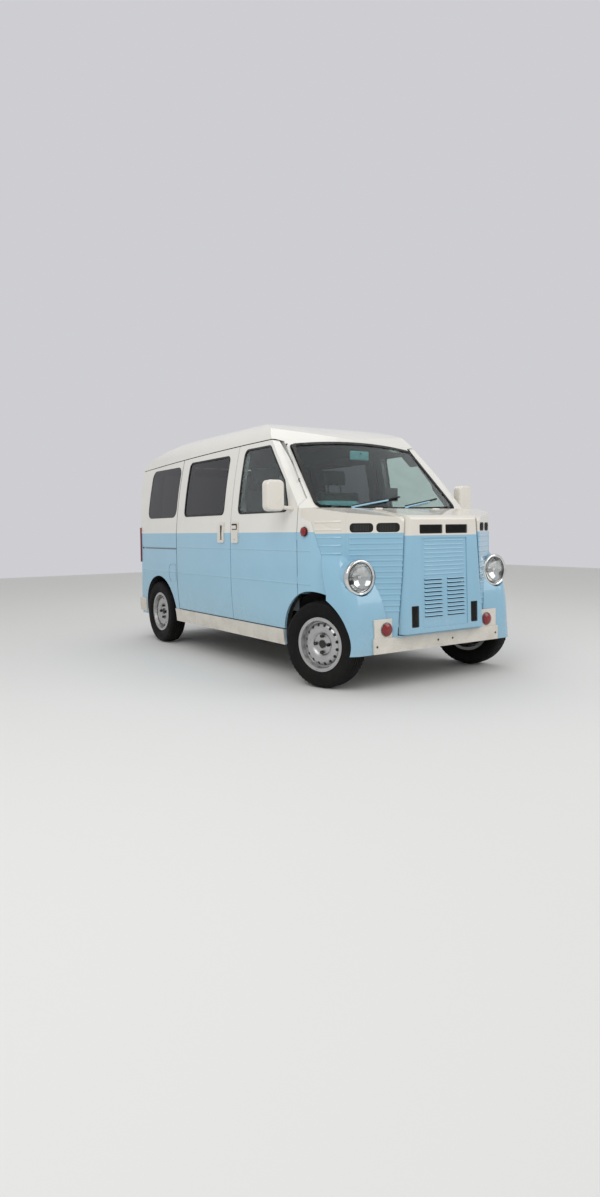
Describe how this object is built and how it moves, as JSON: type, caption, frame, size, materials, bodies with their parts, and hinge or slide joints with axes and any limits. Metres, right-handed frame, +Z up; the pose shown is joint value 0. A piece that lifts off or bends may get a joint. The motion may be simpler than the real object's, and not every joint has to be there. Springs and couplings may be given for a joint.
{
  "type": "kei van",
  "caption": "Small one-box van with a ribbed retro nose, hinged front doors, sliding rear doors, a lifting tailgate and steered front wheels.",
  "frame": {"origin": "on the ground at mid-length, on the centre plane", "axes": "+X points forward along the longest extent, +Y to the left, +Z up"},
  "size_m": [3.36, 1.812, 1.7649],
  "materials": {
    "body_paint": "gloss, light blue below the waist and off-white above",
    "upper_paint": "gloss off-white",
    "inner_paint": "satin",
    "white_trim": "gloss off-white",
    "frame_black": "satin",
    "clear_glass": "polished",
    "tinted_glass": "polished",
    "chrome": "polished",
    "red_lens": "gloss",
    "mesh_black": "satin",
    "dash_turquoise": "satin",
    "wheel_black": "satin",
    "seat_cloth": "woven",
    "wiper_blue": "satin",
    "wiper_rubber": "matte",
    "engine_metal": "cast",
    "exhaust_steel": "weathered",
    "axle_iron": "painted",
    "rim_silver": "satin",
    "tyre": "matte"
  },
  "bodies": {
    "body": {"floor_pan": "inner_paint", "chassis_frame": "frame_black", "roof": "upper_paint", "side_right": "body_paint", "side_left": "body_paint", "nose_shell": "body_paint", "windscreen": "clear_glass", "side_glass": "tinted_glass", "sliding_door_right": "body_paint", "sliding_door_left": "body_paint", "bumpers": "white_trim", "side_trim": "white_trim", "headlights": "chrome", "headlight_lenses": "clear_glass", "signal_lamps": "red_lens", "intake_meshes": "mesh_black", "dashboard": "dash_turquoise", "steering_wheel": "wheel_black", "seats": "seat_cloth", "wiper_arms": "wiper_blue", "wiper_blades": "wiper_rubber", "engine_block": "engine_metal", "fuel_tank": "frame_black", "exhaust": "exhaust_steel", "rear_axle": "axle_iron", "front_suspension": "axle_iron", "interior_mirror": "dash_turquoise"},
    "door_right": {"door_right": "body_paint", "door_glass_right": "clear_glass", "door_mirror_right": "white_trim"},
    "door_left": {"door_left": "body_paint", "door_glass_left": "clear_glass", "door_mirror_left": "white_trim"},
    "tailgate": {"tailgate": "body_paint", "tailgate_glass": "tinted_glass"},
    "nose_lid": {"nose_lid": "body_paint", "lid_meshes": "mesh_black"},
    "knuckle_right": {"knuckle_right": "axle_iron"},
    "knuckle_left": {"knuckle_left": "axle_iron"},
    "wheel_front_right": {"rim_front_right": "rim_silver", "tyre_front_right": "tyre"},
    "wheel_front_left": {"rim_front_left": "rim_silver", "tyre_front_left": "tyre"},
    "wheel_rear_right": {"rim_rear_right": "rim_silver", "tyre_rear_right": "tyre"},
    "wheel_rear_left": {"rim_rear_left": "rim_silver", "tyre_rear_left": "tyre"}
  },
  "joints": [
    {"name": "steer_right", "type": "hinge", "parent": "body", "child": "knuckle_right", "pos_m": [1.276, -0.6, 0.268], "axis": [0, 0.1908, 0.9816], "range_deg": [-51.6, 18.4]},
    {"name": "steer_left", "type": "hinge", "parent": "body", "child": "knuckle_left", "pos_m": [1.276, 0.6, 0.268], "axis": [0, -0.1908, 0.9816], "range_deg": [-51.6, 18.4]},
    {"name": "spin_front_right", "type": "hinge", "parent": "knuckle_right", "child": "wheel_front_right", "pos_m": [1.291, -0.65031, 0.268], "axis": [-0.2857, 0.9583, 0], "continuous": true},
    {"name": "spin_front_left", "type": "hinge", "parent": "knuckle_left", "child": "wheel_front_left", "pos_m": [1.261, 0.65031, 0.268], "axis": [-0.2857, 0.9583, 0], "continuous": true},
    {"name": "spin_rear_right", "type": "hinge", "parent": "body", "child": "wheel_rear_right", "pos_m": [-1.124, -0.6475, 0.268], "axis": [0, 1, 0], "continuous": true},
    {"name": "spin_rear_left", "type": "hinge", "parent": "body", "child": "wheel_rear_left", "pos_m": [-1.124, 0.6475, 0.268], "axis": [0, 1, 0], "continuous": true},
    {"name": "door_right_hinge", "type": "hinge", "parent": "body", "child": "door_right", "pos_m": [1.115, -0.7375, 0.795], "axis": [0, 0, 1], "range_deg": [0, 70]},
    {"name": "door_left_hinge", "type": "hinge", "parent": "body", "child": "door_left", "pos_m": [1.115, 0.7375, 0.795], "axis": [0, 0, -1], "range_deg": [0, 70]},
    {"name": "tailgate_hinge", "type": "hinge", "parent": "body", "child": "tailgate", "pos_m": [-1.51538, 0, 1.572], "axis": [0, 1, 0], "range_deg": [0, 85]},
    {"name": "nose_lid_hinge", "type": "hinge", "parent": "body", "child": "nose_lid", "pos_m": [1.338, 0, 1.102], "axis": [0, -1, 0], "range_deg": [0, 50]}
  ],
  "couplings": [
    {"joint": "steer_left", "follows": "steer_right", "ratio": 1}
  ]
}
